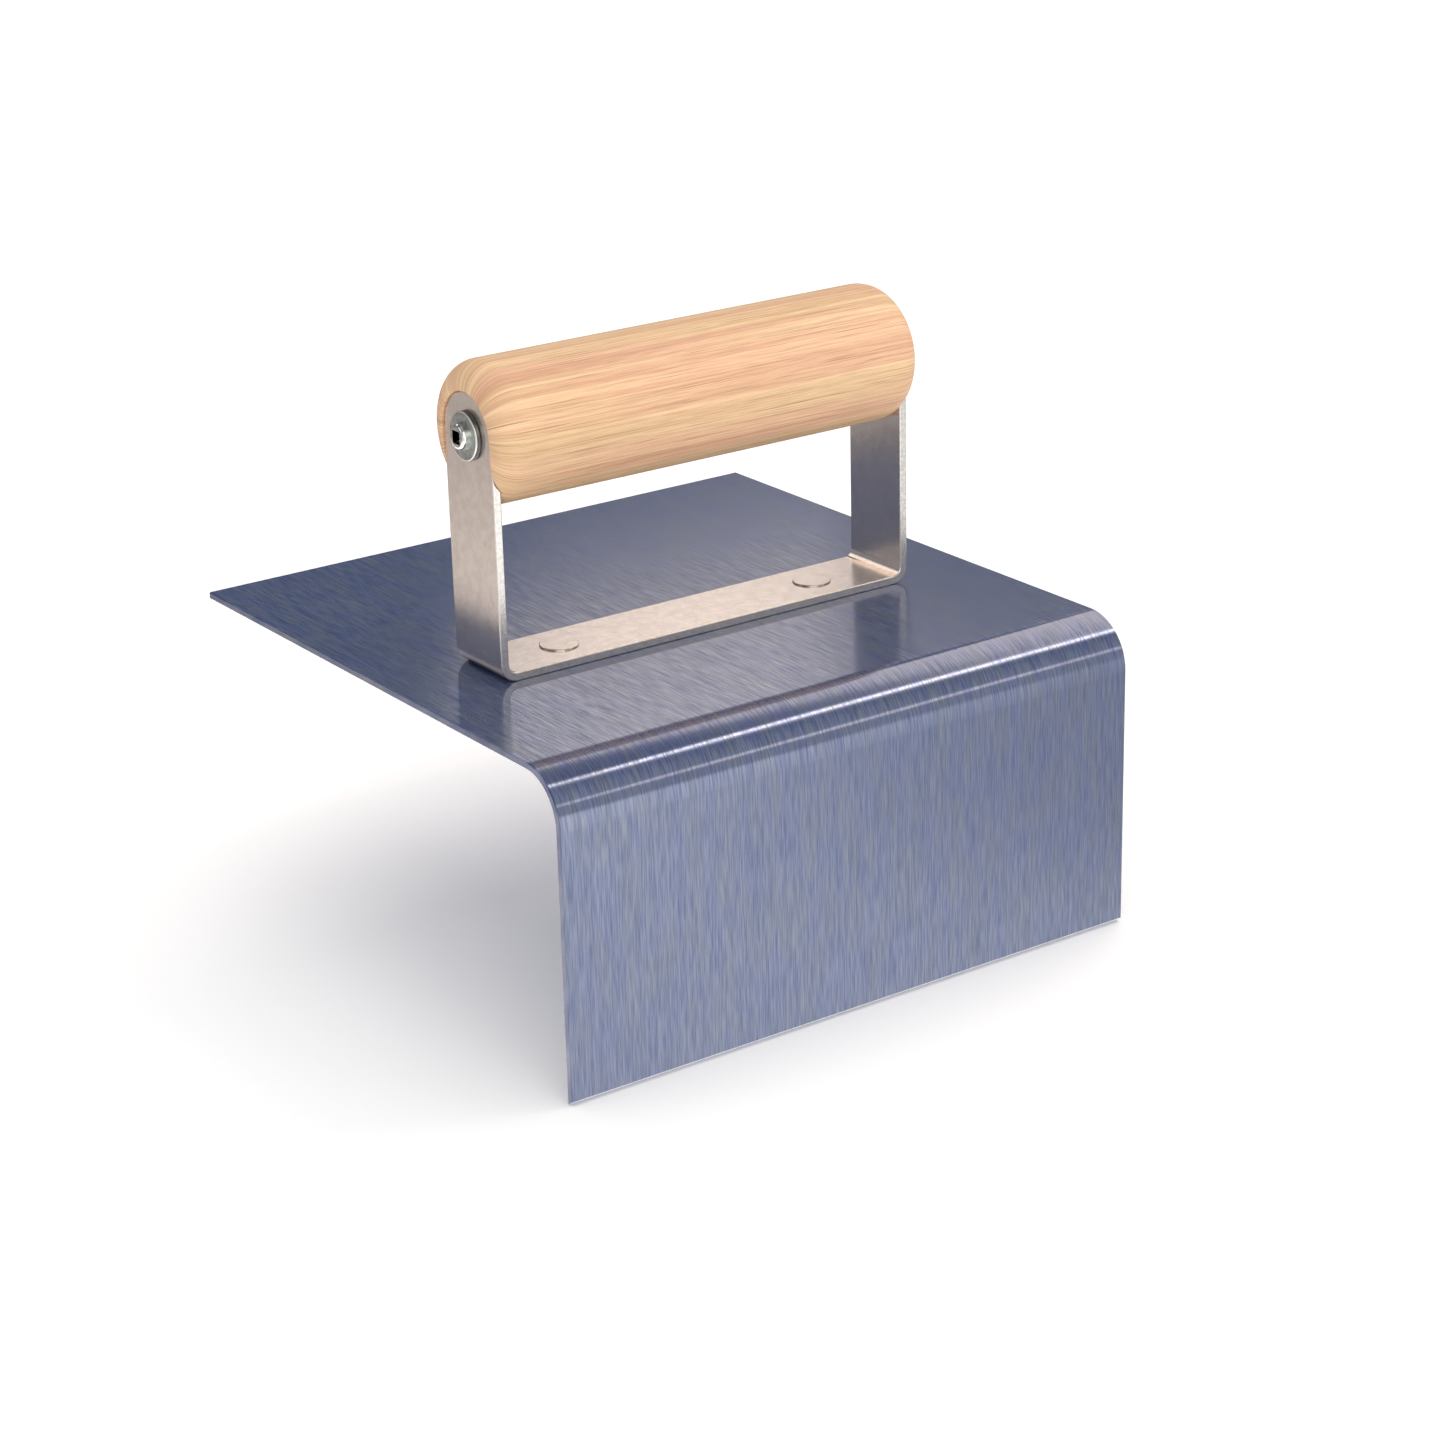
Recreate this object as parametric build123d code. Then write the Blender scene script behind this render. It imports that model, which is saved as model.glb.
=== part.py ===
from build123d import *
import os

# Outside step trowel: a steel plate bent square over a rounded nose, which shapes and smooths
# the edge of a concrete step, with a wooden grip carried by a U-shaped steel bracket.
#
# Units are millimetres. +Z is up, +X runs along the nose and the grip, and +Y points from the
# riser plate towards the rear edge. The origin lies on the working face, which is the underside
# of the level plate, straight below the middle of the grip.

# Blade: one bent sheet
blade_width = 152.4        # along the nose, a nominal 6 in
blade_depth = 151.6        # riser's front face to the rear edge, a nominal 6 in
riser_height = 74.0        # top of the level plate to the riser's lower edge
sheet = 1.62               # sheet thickness, nominally 1/16 in
nose_radius = 12.0         # outside radius of the bend
lip_bevel = 1.1            # how much higher the riser's front face ends than its back face
blade_edge_break = 0.2     # deburred corner along the sheet's side and rear edges
grip_setback = 63.4        # riser's front face to the middle of the grip

# Bracket: one U-shaped strap, riveted to the blade
strap_width = 19.0         # a nominal 3/4 in
strap = 1.95               # strap thickness, 14 gauge
bracket_length = 111.4     # over the outsides of the two legs
bend_radius = 2.0          # inside radius of the two bends
strap_edge_break = 0.25    # tumbled corner along the strap's edges
leg_hole_radius = 2.5      # clears the handle screw

# Grip: one turned dowel, slotted at both ends for the bracket's legs
grip_radius = 15.875       # a nominal 1-1/4 in dowel
grip_height = 54.0         # top of the blade to the grip's axis
end_round = 6.0            # rounding of the grip's two ends
leg_recess = 0.65          # how far the legs' outsides lie below the grip's ends
slot_clearance = 0.15      # round each leg, in its slot
slot_edge_break = 0.35     # softened rim of each slot

# Rivets: flat head above the strap, countersunk tail flush with the working face
rivet_spacing = 69.85      # a nominal 2-3/4 in
rivet_radius = 2.38        # a nominal 3/16 in
rivet_head_radius = 4.45
rivet_head = 0.4           # head height
rivet_head_break = 0.15    # rounding of the head's rim
rivet_tail_radius = 3.8    # countersink at the working face, 90 degrees

# Washers between the screw heads and the legs
washer_radius = 5.5
washer_hole_radius = 2.5
washer = 1.35              # thickness
washer_edge_round = 0.4
washer_slip = 0.35         # each washer was tightened this far forward of its screw

# Handle screws: domed head with a square recess, wood thread, gimlet point
screw_length = 31.75       # below the head, a nominal 1-1/4 in
shank_radius = 2.1         # plain part and the outside of the thread
root_radius = 1.45         # core of the thread
plain_shank = 6.5          # length without a thread below the head
point_length = 4.0
thread_pitch = 1.8
thread_crest = 0.18        # width of the thread's crest
head_radius = 2.95
head_height = 1.45
head_round = 0.8
recess_width = 2.9         # across the flats of the square recess
recess_corner = 0.25
recess_depth = 1.6

# Places worked out from the sizes above
front = -grip_setback
rear = front + blade_depth
blade_top = sheet
riser_low = blade_top - riser_height
strap_top = blade_top + strap
axis_height = blade_top + grip_height
leg_outside = bracket_length / 2
leg_inside = leg_outside - strap
grip_end = leg_outside + leg_recess
ends = {"left": -1, "right": 1}


def leg_outline(radius, low):
    """Side view of a leg: straight up from low, with a half-round top about the grip's axis."""
    straight = axis_height - low
    shape = Pos(0, low + straight / 2) * Rectangle(2 * radius, straight)
    return Plane.YZ * (shape + Pos(0, axis_height) * Circle(radius))


def rivet_places():
    """Centre of each rivet on the working face, by side."""
    return {side: Pos(sign * rivet_spacing / 2, 0, 0) for side, sign in ends.items()}


def end_plane(sign, distance):
    """A plane facing out of one end of the grip, centred on its axis."""
    return Plane(origin=(sign * distance, 0, axis_height), x_dir=(0, 1, 0), z_dir=(sign, 0, 0))


def rivet_hole():
    """Straight hole with a countersink at the working face."""
    depth = rivet_tail_radius - rivet_radius
    hole = Cylinder(rivet_radius, strap_top, align=(Align.CENTER, Align.CENTER, Align.MIN))
    sink = Cone(rivet_tail_radius, rivet_radius, depth, align=(Align.CENTER, Align.CENTER, Align.MIN))
    return hole + sink


def make_blade():
    """The level plate, the rounded nose and the riser, bent from one sheet."""
    outside = FilletPolyline(
        (rear, blade_top), (front, blade_top), (front, riser_low + lip_bevel), radius=nose_radius
    )
    inside = FilletPolyline(
        (front + sheet, riser_low), (front + sheet, 0), (rear, 0), radius=nose_radius - sheet
    )
    outline = outside + Line(outside @ 1, inside @ 0) + inside + Line(inside @ 1, outside @ 0)
    body = extrude(Plane.YZ * make_face(outline), amount=blade_width / 2, both=True)
    side_faces = body.faces().filter_by(Axis.X)
    rear_edges = body.edges().filter_by(Axis.X).group_by(Axis.Y)[-1]
    body = chamfer(side_faces.edges() + rear_edges, blade_edge_break)
    for place in rivet_places().values():
        body -= place * rivet_hole()
    return body


def make_bracket():
    """The strap: a base on the blade and two legs up to the grip."""
    outside = FilletPolyline(
        (-leg_outside, axis_height + strap_width),
        (-leg_outside, blade_top),
        (leg_outside, blade_top),
        (leg_outside, axis_height + strap_width),
        radius=bend_radius + strap,
    )
    inside = FilletPolyline(
        (leg_inside, axis_height + strap_width),
        (leg_inside, strap_top),
        (-leg_inside, strap_top),
        (-leg_inside, axis_height + strap_width),
        radius=bend_radius,
    )
    outline = outside + Line(outside @ 1, inside @ 0) + inside + Line(inside @ 1, outside @ 0)
    body = extrude(Plane.XZ * make_face(outline), amount=strap_width / 2, both=True)
    side_view = extrude(leg_outline(strap_width / 2, blade_top), amount=leg_outside, both=True)
    body = body & side_view
    body = fillet(body.edges(), strap_edge_break)
    for place in rivet_places().values():
        body -= place * rivet_hole()
    body -= Pos(0, 0, axis_height) * Rot(0, 90, 0) * Cylinder(leg_hole_radius, 2 * bracket_length)
    return body


def make_grip(screws):
    """The dowel, slotted for the legs, with the screws' threads cut into its ends."""
    body = Pos(0, 0, axis_height) * Rot(0, 90, 0) * Cylinder(grip_radius, 2 * grip_end)
    body = fillet(body.edges().filter_by(GeomType.CIRCLE), end_round)
    slot_view = leg_outline(strap_width / 2 + slot_clearance, axis_height - 2 * grip_radius)
    for sign in ends.values():
        body -= Pos(sign * leg_inside, 0, 0) * extrude(slot_view, amount=sign * strap_width)
    body = fillet(slot_rims(body), slot_edge_break)
    for screw in screws:
        body -= screw
    return body


def slot_rims(body):
    """The edges where the two slots come out through the grip's rounded ends."""
    slot_walls = leg_inside + strap / 2
    return [
        edge
        for edge in body.edges()
        if abs(edge.center().X) > slot_walls and is_on_slot(edge)
    ]


def is_on_slot(edge):
    """True for an edge whose every point lies on a slot's side walls or half-round top."""
    reach = strap_width / 2 + slot_clearance
    for step in range(5):
        point = edge @ (step / 4)
        across = abs(point.Y)
        if point.Z > axis_height:
            across = (point.Y**2 + (point.Z - axis_height) ** 2) ** 0.5
        if abs(across - reach) > 0.01:
            return False
    return True


def make_rivet():
    """Flat head on the strap, shank through strap and blade, tail spread into the countersink."""
    head = Pos(0, 0, strap_top) * Cylinder(
        rivet_head_radius, rivet_head, align=(Align.CENTER, Align.CENTER, Align.MIN)
    )
    head = fillet(head.edges().group_by(Axis.Z)[-1], rivet_head_break)
    return head + rivet_hole()


def make_washer():
    """A plain washer with rounded rims, lying on local z = 0."""
    ring = Cylinder(washer_radius, washer, align=(Align.CENTER, Align.CENTER, Align.MIN))
    ring = fillet(ring.edges().filter_by(GeomType.CIRCLE), washer_edge_round)
    return ring - Cylinder(washer_hole_radius, 4 * washer)


def recess():
    """The square socket for the driver, open at the top of the head."""
    socket = RectangleRounded(recess_width, recess_width, recess_corner)
    return Pos(0, 0, head_height - recess_depth) * extrude(socket, amount=2 * recess_depth)


def make_screw():
    """A wood screw along local z, with the underside of its head at z = 0."""
    top = (Align.CENTER, Align.CENTER, Align.MAX)
    head = Cylinder(head_radius, head_height, align=(Align.CENTER, Align.CENTER, Align.MIN))
    head = fillet(head.edges().group_by(Axis.Z)[-1], head_round)
    core_low = screw_length - point_length
    shank = Cylinder(shank_radius, plain_shank, align=top)
    core = Cylinder(root_radius, core_low, align=top)
    point = Pos(0, 0, -core_low) * Cone(0.15, root_radius, point_length, align=top)
    return head + shank + core + point + thread(core_low) - recess()


def thread(core_low):
    """The helical ridge, from just below the plain shank down to the point."""
    turns_length = core_low - plain_shank - thread_pitch
    path = Helix(thread_pitch, turns_length, root_radius, center=(0, 0, -core_low))
    root = root_radius * 0.85
    ridge = Polyline(
        (root - root_radius, -thread_pitch * 0.3),
        (shank_radius - root_radius, -thread_crest / 2),
        (shank_radius - root_radius, thread_crest / 2),
        (root - root_radius, thread_pitch * 0.3),
        close=True,
    )
    start = Plane(origin=path @ 0, x_dir=(1, 0, 0), z_dir=path % 0)
    return sweep(start * make_face(ridge), path=path, is_frenet=True)


def build():
    """Every piece in its place, by node name."""
    pieces = {"blade": make_blade(), "handle_bracket": make_bracket()}
    for side, place in rivet_places().items():
        pieces[f"{side}_rivet"] = place * make_rivet()
    screw = make_screw()
    slipped_washer = Pos(-washer_slip, 0, 0) * make_washer()
    for side, sign in ends.items():
        pieces[f"{side}_washer"] = end_plane(sign, leg_outside).location * slipped_washer
        pieces[f"{side}_handle_screw"] = end_plane(sign, leg_outside + washer).location * screw
    screws = [pieces[f"{side}_handle_screw"] for side in ends]
    pieces["wood_handle"] = make_grip(screws)
    return pieces


os.makedirs("parts", exist_ok=True)
for node, piece in build().items():
    piece.label = node
    export_step(piece, f"parts/{node}.step")
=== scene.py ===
import math

import bpy
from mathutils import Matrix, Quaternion, Vector


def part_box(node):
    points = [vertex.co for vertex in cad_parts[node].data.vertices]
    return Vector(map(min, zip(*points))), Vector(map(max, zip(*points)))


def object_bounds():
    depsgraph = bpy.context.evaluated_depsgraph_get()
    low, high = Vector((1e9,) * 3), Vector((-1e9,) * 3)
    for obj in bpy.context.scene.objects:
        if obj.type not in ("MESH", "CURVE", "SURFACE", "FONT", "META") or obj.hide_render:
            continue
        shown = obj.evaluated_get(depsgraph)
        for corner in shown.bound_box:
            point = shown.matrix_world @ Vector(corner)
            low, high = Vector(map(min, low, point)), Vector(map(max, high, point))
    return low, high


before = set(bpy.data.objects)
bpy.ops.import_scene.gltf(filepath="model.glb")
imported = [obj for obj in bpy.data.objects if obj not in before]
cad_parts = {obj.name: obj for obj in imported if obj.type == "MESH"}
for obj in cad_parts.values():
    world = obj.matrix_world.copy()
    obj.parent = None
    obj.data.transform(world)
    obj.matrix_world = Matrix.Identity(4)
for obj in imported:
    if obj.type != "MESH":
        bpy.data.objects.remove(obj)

CAD_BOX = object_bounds()

# Camera: a long lens from the front left, looking slightly down
CAMERA_PLACE = (-0.4145, -0.6084, 0.2573)
CAMERA_AZIMUTH = 214.82        # degrees, where it stands as seen from the object; 0 is +Y
CAMERA_ELEVATION = 20.88
CAMERA_ROLL = -1.46
CAMERA_LENS = 85.3             # mm
CAMERA_SENSOR = 36.0           # mm
CAMERA_CLIP = (0.01, 50.0)

# The stage: a floor and a wall round it
FLOOR_SIZE = 12.0
WALL_HEIGHT = 6.0
FLOOR_PAINT = (0.95, 0.95, 0.95, 1.0)
FLOOR_GLOW = (0.12, 1.0)               # at the object, and beyond the softboxes' reach
FLOOR_TURN = (1.0, 2.8)                # distances between which the one glow turns to the other

# What metal reflects, with directions in degrees as seen from the object: azimuth 0 is +Y, 90 is
# +X. The stage stays out of the reflections, so the floor here is the one that metal shows.
BACK_SKY = (0.085, 0.100, 0.120)
LOW_BACK_SKY = (0.155, 0.183, 0.230)
LOW_SKY_TOP = (22.0, 34.0)             # elevations between which the low back sky gives way
ZENITH = (0.50, 0.51, 0.53)
ZENITH_TURN = (66.0, 80.0)             # elevations between which the sky turns to the zenith
FRONT_SKY = (0.62, 0.62, 0.60)
FRONT_TURN = (-0.80, -0.15)            # Y of the directions between which front turns to back
HORIZON = (3.0, 9.0)                   # elevations between which the floor gives way to the sky
FLOOR_BEND = (-25.0, -22.0)            # elevations between which the near floor turns to the far
AZIMUTH_START = 60.0                   # azimuths are counted once round from here
FAR_FLOOR = {"right": 0.60, "front": 1.95, "left": 0.75, "rear_left": 1.25}
RIGHT_TO_FRONT = (138.0, 151.0)        # azimuths between which the far floor turns to the next
FRONT_TO_LEFT = (185.0, 212.0)
LEFT_TO_REAR = (285.0, 312.0)
REAR_TO_RIGHT = (345.0, 385.0)
NEAR_FLOOR = 1.45
REAR_TINT = (1.04, 0.97, 0.93)         # colour of the floor past the left side
REAR_FLOOR = 0.25                      # the far floor behind the object, which is dim
REAR_FADE = (-24.0, -15.0)             # elevations between which the near floor turns to it
REAR_TURN = (0.0, 0.5)                 # Y of the directions between which the sides turn to it

# Softboxes: azimuth and elevation in degrees, distance, width and height in metres, roll in
# degrees, radiance, colour, and whether metal shows their reflection
WARM = (0.96, 0.83, 0.73)
PALE_WARM = (1.00, 0.90, 0.82)
SOFTBOXES = {
    "low_back": (34.8, 26.3, 3.0, 0.43, 0.84, 12.0, 1.43, WARM, True),
    "low_back_edge": (43.5, 23.6, 3.1, 0.50, 0.42, 0.0, 0.56, WARM, True),
    "high_back": (-12.0, 38.0, 2.5, 1.50, 0.80, 0.0, 1.20, WARM, True),
    "high_right": (73.0, 38.3, 2.5, 2.08, 1.54, -1.0, 2.02, WARM, True),
    "key": (114.2, 49.3, 2.5, 0.20, 0.78, 22.4, 7.1, PALE_WARM, True),
    "key_glow": (114.8, 49.4, 2.6, 0.42, 0.95, 22.4, 1.0, PALE_WARM, True),
    "low_right": (142.4, 23.2, 2.5, 0.20, 0.70, 72.0, 2.2, WARM, True),
    "front_left": (205.0, 26.0, 2.5, 2.20, 1.60, 0.0, 1.6, (1.00, 0.96, 0.91), True),
    "left": (285.0, 30.0, 2.5, 1.60, 1.60, 0.0, 0.8, (1.00, 0.97, 0.94), True),
    "front_fill": (190.0, 4.0, 2.5, 2.40, 1.60, 0.0, 1.1, (1.00, 0.95, 0.92), False),
    "overhead": (0.0, 89.0, 3.0, 4.00, 4.00, 0.0, 1.30, (1.00, 0.98, 0.96), False),
}

# Colours of the finishes. A pair is the two colours that a mottling goes between.
BLADE_DARK = ((0.010, 0.034, 0.160), (0.018, 0.046, 0.138))
BLADE_LIGHT = ((0.134, 0.161, 0.270), (0.146, 0.170, 0.246))
STRAP_FACE = ((0.92, 0.815, 0.738), (1.00, 0.900, 0.830))
STRAP_SPECKS = (0.50, 0.44, 0.40)
# Painted shade on the strap's sheared sides, which face forward and back
STRAP_PAINTED_SIDE_SHADE = ((0.60, 0.57, 0.54), (0.70, 0.67, 0.63))
# Painted shade on the sides of the rivet heads, a dark outline
RIVET_PAINTED_SIDE_SHADE = ((0.34, 0.32, 0.30), (0.46, 0.44, 0.41))
WASHER_FACE = ((0.34, 0.36, 0.345), (0.46, 0.475, 0.455))
# Painted shade on the washer's outer side
WASHER_PAINTED_SIDE_SHADE = (0.17, 0.17, 0.165)
# Painted shadow where the washer's back meets the leg
WASHER_PAINTED_SHADOW = (0.08, 0.08, 0.075)
# Painted highlight on the washer's rounded rim
WASHER_PAINTED_HIGHLIGHT = (0.88, 0.88, 0.85)
SCREW_HEAD = ((0.80, 0.80, 0.76), (0.93, 0.93, 0.90))
# Painted shade inside the screw recess
SCREW_PAINTED_RECESS_SHADE = (0.05, 0.05, 0.045)
WOOD_PALE = ((0.88, 0.650, 0.385), (0.89, 0.585, 0.375))
WOOD_TAN = ((0.52, 0.305, 0.165), (0.54, 0.280, 0.175))
WOOD_PORES = (0.36, 0.190, 0.100)
WOOD_DUST = (0.55, 0.36, 0.22)


class Nodes:
    """A node tree, with short calls to add and join nodes."""

    def __init__(self, tree):
        self.tree = tree
        tree.nodes.clear()

    def node(self, kind, inputs=None, **settings):
        """Adds a node. Inputs are by name or number, each a constant or another node's output."""
        made = self.tree.nodes.new(kind)
        for key, value in settings.items():
            setattr(made, key, value)
        for key, value in (inputs or {}).items():
            if isinstance(value, bpy.types.NodeSocket):
                self.tree.links.new(value, made.inputs[key])
            else:
                made.inputs[key].default_value = value
        return made

    def math(self, operation, *values):
        return self.node("ShaderNodeMath", dict(enumerate(values)), operation=operation).outputs[0]

    def vector(self, x, y, z):
        return self.node("ShaderNodeCombineXYZ", {0: x, 1: y, 2: z}).outputs[0]

    def split(self, vector):
        return self.node("ShaderNodeSeparateXYZ", {0: vector}).outputs

    def length(self, vector):
        return self.node("ShaderNodeVectorMath", {0: vector}, operation="LENGTH").outputs["Value"]

    def noise(self, vector, scale=1.0, detail=2.0, roughness=0.5):
        inputs = {"Vector": vector, "Scale": scale, "Detail": detail, "Roughness": roughness}
        return self.node("ShaderNodeTexNoise", inputs).outputs["Fac"]

    def remap(self, value, low, high, to_low=0.0, to_high=1.0):
        """Turns smoothly from to_low at low to to_high at high, and is steady outside them."""
        inputs = {"Value": value, "From Min": low, "From Max": high, "To Min": to_low,
                  "To Max": to_high}
        return self.node("ShaderNodeMapRange", inputs, interpolation_type="SMOOTHSTEP").outputs[0]

    def mix(self, factor, one, two, blend="MIX"):
        """Goes from one colour to the other, each a constant or another node's output."""
        made = self.node("ShaderNodeMix", {0: factor}, data_type="RGBA", blend_type=blend)
        for socket, value in ((made.inputs[6], one), (made.inputs[7], two)):
            if isinstance(value, bpy.types.NodeSocket):
                self.tree.links.new(value, socket)
            else:
                socket.default_value = (*value, 1.0)
        return made.outputs[2]


class Shader(Nodes):
    """One material. Its coordinates are the frame's, in metres, so a noise's scale is per metre."""

    def __init__(self, name):
        self.material = bpy.data.materials.new(name)
        self.material.use_nodes = True
        super().__init__(self.material.node_tree)
        coordinates = self.node("ShaderNodeTexCoord")
        self.place, self.facing = coordinates.outputs["Object"], coordinates.outputs["Normal"]
        self.x, self.y, self.z = self.split(self.place)

    def bump(self, height, distance):
        inputs = {"Height": height, "Distance": distance, "Strength": 1.0}
        return self.node("ShaderNodeBump", inputs).outputs[0]

    def finish(self, inputs):
        surface = self.node("ShaderNodeBsdfPrincipled", inputs)
        output = self.node("ShaderNodeOutputMaterial")
        self.tree.links.new(surface.outputs[0], output.inputs[0])
        return self.material


def blade_steel():
    """Blued sheet steel, brushed from front to back and down over the nose."""
    s = Shader("blade_brushed_steel")
    lengthways = s.math("ADD", s.y, s.z)

    def streaks(across, along, **options):
        """Noise with its scale across the brushing and along it, per metre."""
        place = s.vector(s.math("MULTIPLY", s.x, across), s.math("MULTIPLY", lengthways, along), 0.0)
        return s.noise(place, **options)

    hairs = s.remap(streaks(4000.0, 190.0, detail=0.0), 0.30, 0.70)
    fine = s.remap(streaks(2500.0, 75.0, detail=0.0), 0.30, 0.70)
    bands = s.remap(streaks(800.0, 26.0, detail=2.0), 0.34, 0.66)
    brushed = s.math("MULTIPLY", hairs, 0.46)
    brushed = s.math("MULTIPLY_ADD", fine, 0.36, brushed)
    brushed = s.math("MULTIPLY_ADD", bands, 0.18, brushed)
    tint = s.remap(streaks(240.0, 60.0, detail=2.0), 0.35, 0.65)
    grooves = streaks(3500.0, 60.0, detail=0.0)
    return s.finish({
        "Base Color": s.mix(brushed, s.mix(tint, *BLADE_DARK), s.mix(tint, *BLADE_LIGHT)),
        "Roughness": s.remap(brushed, 0.0, 1.0, 0.19, 0.11),
        "Metallic": 0.35,
        "IOR": 2.35,
        # Reflections spread along X, across the brushing
        "Anisotropic": 0.7,
        "Anisotropic Rotation": 0.25,
        "Tangent": s.node("ShaderNodeTangent", direction_type="RADIAL", axis="X").outputs[0],
        "Normal": s.bump(grooves, 0.0000006),
    })


def tumbled_steel(name, shaded_side, side_shade_colours):
    """Bright, warm grey, finely mottled with dark specks, and painted darker as shade where the side
    mask, the second argument, is 1.
    """
    s = Shader(name)
    blotch = s.noise(s.place, scale=320.0, detail=4.0, roughness=0.7)
    grit = s.noise(s.place, scale=1500.0, detail=2.0, roughness=0.6)
    colour = s.mix(s.remap(blotch, 0.35, 0.65), *STRAP_FACE)
    colour = s.mix(s.remap(grit, 0.52, 0.76, 0.0, 0.22), colour, STRAP_SPECKS)
    # painted shade on the sides that the side mask picks out
    side_shade = s.mix(s.remap(grit, 0.35, 0.65), *side_shade_colours)
    return s.finish({"Base Color": s.mix(shaded_side(s), colour, side_shade), "Metallic": 0.96,
                     "Roughness": s.remap(grit, 0.35, 0.65, 0.24, 0.26),
                     "Normal": s.bump(blotch, 0.0000008)})


def strap_side(s):
    """1 on the strap's sheared sides, which face forward and back, where shade is painted."""
    return s.remap(s.math("ABSOLUTE", s.split(s.facing)[1]), 0.5, 0.9)


def rivet_side(s):
    """1 on the side of a rivet's head, which doesn't face up, where a dark outline of shade is
    painted.
    """
    return s.remap(s.math("ABSOLUTE", s.split(s.facing)[2]), 0.5, 0.9, 1.0, 0.0)


def screw_axis_distance(s):
    """Distance from the axis that the screws and washers share."""
    low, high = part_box("left_washer")
    up = s.math("SUBTRACT", s.z, (low.z + high.z) / 2)
    forward = s.math("SUBTRACT", s.y, (low.y + high.y) / 2)
    return s.length(s.vector(0.0, forward, up))


def washer_zinc():
    """Dull satin zinc, with a painted highlight on the outer rounded rim, painted shade on its side
    and a painted shadow against the leg.
    """
    s = Shader("washer_satin_zinc")
    low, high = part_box("left_washer")
    rim = (high.z - low.z) / 2
    face = -low.x                          # how far out the washers' faces are
    patch = s.noise(s.place, scale=900.0, detail=3.0)
    radius = s.math("ADD", screw_axis_distance(s), s.math("MULTIPLY", patch, 0.00006))
    out = s.math("ABSOLUTE", s.x)
    # painted shade on the washer's outer side
    side = s.math("MULTIPLY", s.remap(radius, rim - 0.0003, rim - 0.0001),
                  s.remap(out, face - 0.00035, face - 0.0002, 1.0, 0.0))
    # painted shadow at the washer's back, against the leg
    back = s.remap(out, face - 0.00125, face - 0.0011, 1.0, 0.0)
    # painted highlight on the rounded rim of the face
    painted_rim_highlight = s.math("MULTIPLY", s.remap(radius, rim - 0.00034, rim - 0.00026),
                  s.remap(out, face - 0.00030, face - 0.00018))
    colour = s.mix(s.remap(patch, 0.35, 0.65), *WASHER_FACE)
    colour = s.mix(side, colour, WASHER_PAINTED_SIDE_SHADE)
    colour = s.mix(back, colour, WASHER_PAINTED_SHADOW)
    colour = s.mix(painted_rim_highlight, colour, WASHER_PAINTED_HIGHLIGHT)
    return s.finish({"Base Color": colour, "Metallic": 1.0,
                     "Roughness": s.remap(patch, 0.3, 0.7, 0.34, 0.44),
                     "Normal": s.bump(patch, 0.000002)})


def screw_zinc():
    """Bright plated screws, with painted shade in the recess."""
    s = Shader("screw_bright_zinc")
    low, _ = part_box("left_handle_screw")
    patch = s.noise(s.place, scale=900.0, detail=3.0)
    depth = s.math("SUBTRACT", -low.x, s.math("ABSOLUTE", s.x))    # below the top of the head
    # painted shade in the screw recess
    painted_recess_shade = s.math("MULTIPLY", s.remap(depth, 0.00004, 0.00012),
                    s.remap(screw_axis_distance(s), 0.0021, 0.0022, 1.0, 0.0))
    colour = s.mix(s.remap(patch, 0.35, 0.65), *SCREW_HEAD)
    return s.finish({"Base Color": s.mix(painted_recess_shade, colour, SCREW_PAINTED_RECESS_SHADE), "Metallic": 1.0,
                     "Roughness": s.remap(patch, 0.3, 0.7, 0.10, 0.18),
                     "Normal": s.bump(patch, 0.000004)})


def grip_wood():
    """Pale turned hardwood: long grain that closes in on the axis over the rounded ends."""
    s = Shader("grip_pale_hardwood")
    low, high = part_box("wood_handle")
    axis_y, axis_z = (low.y + high.y) / 2, (low.z + high.z) / 2
    radial = s.vector(0.0, s.math("SUBTRACT", s.y, axis_y), s.math("SUBTRACT", s.z, axis_z))
    around = s.node("ShaderNodeVectorMath", {0: radial}, operation="NORMALIZE").outputs[0]
    _, round_y, round_z = s.split(around)

    def grain(along, across, **options):
        """Noise with its scale along the axis, per metre, and round it, on a circle of radius 1."""
        place = s.vector(
            s.math("MULTIPLY", s.x, along),
            s.math("MULTIPLY", round_y, across),
            s.math("MULTIPLY", round_z, across),
        )
        return s.noise(place, **options)

    warmth = s.remap(grain(8.0, 2.6, detail=2.0), 0.38, 0.62)
    bands = s.remap(grain(4.5, 5.0, detail=5.0, roughness=0.72), 0.34, 0.66)
    strands = s.remap(grain(12.0, 38.0, detail=3.0), 0.34, 0.66)
    fibres = s.remap(grain(150.0, 105.0, detail=1.0), 0.32, 0.68)
    value = s.math("MULTIPLY", bands, 0.40)
    value = s.math("MULTIPLY_ADD", strands, 0.34, value)
    value = s.math("MULTIPLY_ADD", fibres, 0.26, value)
    colour = s.mix(value, s.mix(warmth, *WOOD_PALE), s.mix(warmth, *WOOD_TAN))
    pores = grain(42.0, 78.0, detail=2.0)
    colour = s.mix(s.remap(pores, 0.58, 0.72, 0.0, 0.85), colour, WOOD_PORES)
    dust = s.noise(s.place, scale=2600.0, detail=1.0)
    colour = s.mix(s.remap(dust, 0.45, 0.75, 0.0, 0.16), colour, WOOD_DUST)
    return s.finish({"Base Color": colour, "Roughness": s.remap(value, 0.2, 0.8, 0.50, 0.62),
                     "Specular IOR Level": 0.35, "Normal": s.bump(fibres, 0.00001)})


def floor_paint():
    """Pale floor that stays pale beyond the softboxes' reach."""
    s = Shader("floor_pale")
    glow = s.remap(s.length(s.place), *FLOOR_TURN, *FLOOR_GLOW)
    return s.finish({"Base Color": FLOOR_PAINT, "Roughness": 0.9, "Specular IOR Level": 0.1,
                     "Emission Color": (1.0, 1.0, 1.0, 1.0), "Emission Strength": glow})


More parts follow.
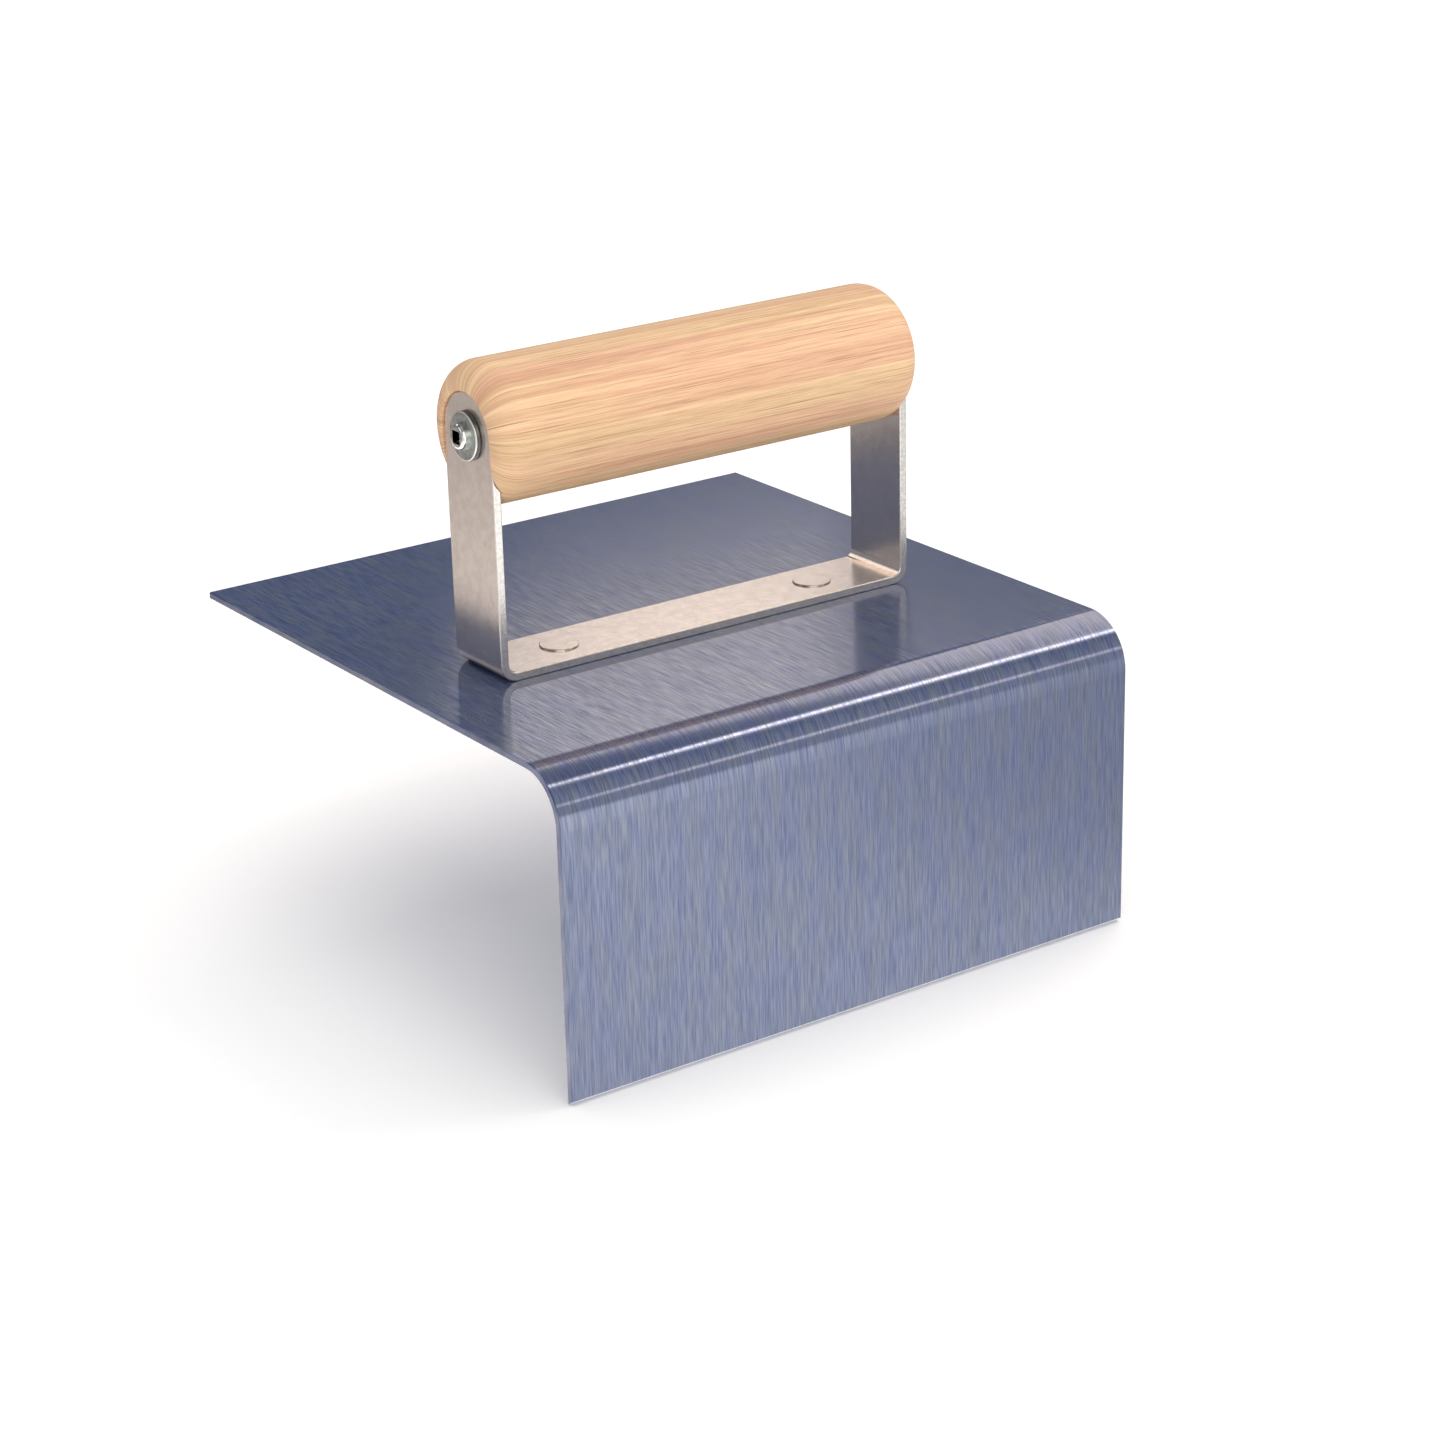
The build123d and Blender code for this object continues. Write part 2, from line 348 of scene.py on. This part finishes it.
def direction(azimuth, elevation):
    """Unit vector towards a place in the studio, as seen from the object."""
    a, e = math.radians(azimuth), math.radians(elevation)
    return Vector((math.sin(a) * math.cos(e), math.cos(a) * math.cos(e), math.sin(e)))


def turn(thing, away, roll):
    """Turns a lamp or camera to look the way that is opposite to away, and rolls it."""
    thing.rotation_mode = "QUATERNION"
    spin = Quaternion((0, 0, 1), math.radians(roll))
    thing.rotation_quaternion = (-away).to_track_quat("-Z", "Y") @ spin


def add_softbox(name, azimuth, elevation, distance, width, height, roll, radiance, colour, reflected):
    """An area light that faces the object and stays out of the camera's sight."""
    light = bpy.data.lights.new(name, "AREA")
    light.shape = "RECTANGLE"
    light.size, light.size_y = width, height
    light.energy = radiance * math.pi * width * height
    light.color = colour
    lamp = bpy.data.objects.new(name, light)
    towards = direction(azimuth, elevation)
    lamp.location = towards * distance
    turn(lamp, towards, roll)
    lamp.visible_camera = False
    lamp.visible_glossy = reflected
    bpy.context.scene.collection.objects.link(lamp)


def add_stage(name, corners, faces):
    """Part of the studio, level with the riser's lower edge and left out of the reflections."""
    mesh = bpy.data.meshes.new(name)
    mesh.from_pydata(corners, [], faces)
    mesh.materials.append(floor_paint())
    stage = bpy.data.objects.new(name, mesh)
    stage.location.z = CAD_BOX[0].z
    stage.visible_glossy = False
    bpy.context.scene.collection.objects.link(stage)
    return stage


def add_floor():
    """A plain pale floor, and a wall round it that only the camera sees."""
    half = FLOOR_SIZE / 2
    low = [(x * half, y * half, 0.0) for x, y in ((-1, -1), (1, -1), (1, 1), (-1, 1))]
    high = [(x, y, WALL_HEIGHT) for x, y, _ in low]
    add_stage("floor", low, [(0, 1, 2, 3)])
    sides = [(side, (side + 1) % 4, (side + 1) % 4 + 4, side + 4) for side in range(4)]
    wall = add_stage("backdrop", low + high, sides)
    wall.visible_diffuse = wall.visible_shadow = False


def add_world():
    """Dark above the horizon, where the softboxes are, and pale floor below it."""
    world = bpy.data.worlds.new("studio")
    world.use_nodes = True
    bpy.context.scene.world = world
    w = Nodes(world.node_tree)
    x, y, z = w.split(w.node("ShaderNodeTexCoord").outputs["Generated"])
    azimuth = w.math("DEGREES", w.math("ARCTAN2", x, y))
    azimuth = w.math("WRAP", azimuth, AZIMUTH_START + 360.0, AZIMUTH_START)
    elevation = w.math("DEGREES", w.math("ARCSINE", z))
    far = w.remap(azimuth, *RIGHT_TO_FRONT, FAR_FLOOR["right"], FAR_FLOOR["front"])
    for turn, one, two in ((FRONT_TO_LEFT, "front", "left"), (LEFT_TO_REAR, "left", "rear_left"),
                           (REAR_TO_RIGHT, "rear_left", "right")):
        change = FAR_FLOOR[two] - FAR_FLOOR[one]
        far = w.math("ADD", far, w.remap(azimuth, *turn, 0.0, change))
    near = w.remap(elevation, *FLOOR_BEND, 1.0, 0.0)
    below = w.mix(near, w.vector(far, far, far), (NEAR_FLOOR,) * 3)
    dim = w.math("MULTIPLY", w.remap(y, *REAR_TURN), w.remap(elevation, *REAR_FADE))
    below = w.mix(dim, below, (REAR_FLOOR,) * 3)
    tint = w.mix(w.remap(azimuth, *LEFT_TO_REAR), (1.0, 1.0, 1.0), REAR_TINT)
    below = w.mix(1.0, below, tint, blend="MULTIPLY")
    back = w.mix(w.remap(elevation, *LOW_SKY_TOP), LOW_BACK_SKY, BACK_SKY)
    sky = w.mix(w.remap(y, *FRONT_TURN, 1.0, 0.0), back, FRONT_SKY)
    sky = w.mix(w.remap(elevation, *ZENITH_TURN), sky, ZENITH)
    colour = w.mix(w.remap(elevation, *HORIZON), below, sky)
    background = w.node("ShaderNodeBackground", {"Color": colour})
    output = w.node("ShaderNodeOutputWorld")
    w.tree.links.new(background.outputs[0], output.inputs[0])


def add_camera():
    """The camera from which the object is seen at rest."""
    data = bpy.data.cameras.new("camera")
    data.lens = CAMERA_LENS
    data.sensor_width = CAMERA_SENSOR
    data.clip_start, data.clip_end = CAMERA_CLIP
    camera = bpy.data.objects.new("camera", data)
    camera.location = CAMERA_PLACE
    turn(camera, direction(CAMERA_AZIMUTH, CAMERA_ELEVATION), CAMERA_ROLL)
    bpy.context.scene.collection.objects.link(camera)
    bpy.context.scene.camera = camera


FINISHES = {
    "blade": blade_steel(),
    "handle_bracket": tumbled_steel("strap_tumbled_steel", strap_side, STRAP_PAINTED_SIDE_SHADE),
    "wood_handle": grip_wood(),
}
RIVET_STEEL = tumbled_steel("rivet_tumbled_steel", rivet_side, RIVET_PAINTED_SIDE_SHADE)
FINISHES["left_rivet"] = FINISHES["right_rivet"] = RIVET_STEEL
FINISHES["left_washer"] = FINISHES["right_washer"] = washer_zinc()
FINISHES["left_handle_screw"] = FINISHES["right_handle_screw"] = screw_zinc()
for name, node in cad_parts.items():
    node.material_slots[0].material = FINISHES[name]

add_camera()
add_world()
add_floor()
for name, softbox in SOFTBOXES.items():
    add_softbox(name, *softbox)
bpy.context.scene.view_settings.view_transform = "Standard"
